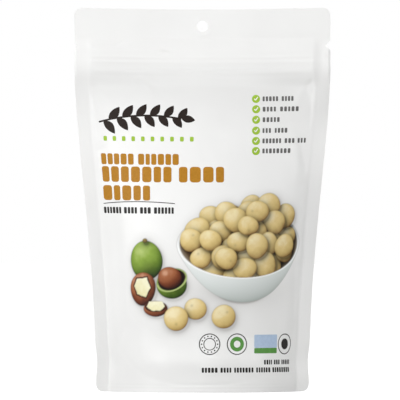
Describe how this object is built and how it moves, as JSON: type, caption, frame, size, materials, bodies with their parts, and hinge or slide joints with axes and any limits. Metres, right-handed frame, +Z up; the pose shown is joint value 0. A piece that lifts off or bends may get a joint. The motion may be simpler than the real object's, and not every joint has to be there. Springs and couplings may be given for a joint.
{
  "type": "stand-up pouch of macadamia nuts",
  "caption": "Filled, heat-sealed stand-up film pouch with a folded bottom gusset, press-to-close zipper, tear notches and a hang hole, holding shelled macadamia nuts.",
  "frame": {"origin": "on the floor under the middle of the pouch's base", "axes": "+Z up, the printed front panel faces -Y, +X to the right seen from the front"},
  "size_m": [0.16, 0.0726, 0.2399],
  "materials": {
    "film": "satin white laminated film, printed on the front",
    "gusset_film": "satin white laminated film, unprinted",
    "zipper": "clear extruded polyethylene",
    "kernel": "smooth, faintly oily cream nut flesh"
  },
  "bodies": {
    "root": {"front_panel": "film", "back_panel": "film", "bottom_gusset": "gusset_film", "zipper_rib_strip": "zipper", "zipper_groove_strip": "zipper", "macadamia_kernel_01": "kernel", "macadamia_kernel_02": "kernel", "macadamia_kernel_03": "kernel", "macadamia_kernel_04": "kernel", "macadamia_kernel_05": "kernel", "macadamia_kernel_06": "kernel", "macadamia_kernel_07": "kernel", "macadamia_kernel_08": "kernel", "macadamia_kernel_09": "kernel", "macadamia_kernel_10": "kernel", "macadamia_kernel_11": "kernel", "macadamia_kernel_12": "kernel", "macadamia_kernel_13": "kernel", "macadamia_kernel_14": "kernel", "macadamia_kernel_15": "kernel", "macadamia_kernel_16": "kernel", "macadamia_kernel_17": "kernel", "macadamia_kernel_18": "kernel", "macadamia_kernel_19": "kernel", "macadamia_kernel_20": "kernel", "macadamia_kernel_21": "kernel", "macadamia_kernel_22": "kernel", "macadamia_kernel_23": "kernel", "macadamia_kernel_24": "kernel", "macadamia_kernel_25": "kernel", "macadamia_kernel_26": "kernel", "macadamia_kernel_27": "kernel", "macadamia_kernel_28": "kernel", "macadamia_kernel_29": "kernel", "macadamia_kernel_30": "kernel", "macadamia_kernel_31": "kernel", "macadamia_kernel_32": "kernel", "macadamia_kernel_33": "kernel", "macadamia_kernel_34": "kernel", "macadamia_kernel_35": "kernel", "macadamia_kernel_36": "kernel", "macadamia_kernel_37": "kernel", "macadamia_kernel_38": "kernel", "macadamia_kernel_39": "kernel", "macadamia_kernel_40": "kernel", "macadamia_kernel_41": "kernel", "macadamia_kernel_42": "kernel", "macadamia_kernel_43": "kernel", "macadamia_kernel_44": "kernel", "macadamia_kernel_45": "kernel", "macadamia_kernel_46": "kernel", "macadamia_kernel_47": "kernel", "macadamia_kernel_48": "kernel", "macadamia_kernel_49": "kernel", "macadamia_kernel_50": "kernel", "macadamia_kernel_51": "kernel", "macadamia_kernel_52": "kernel", "macadamia_kernel_53": "kernel", "macadamia_kernel_54": "kernel"}
  },
  "joints": []
}
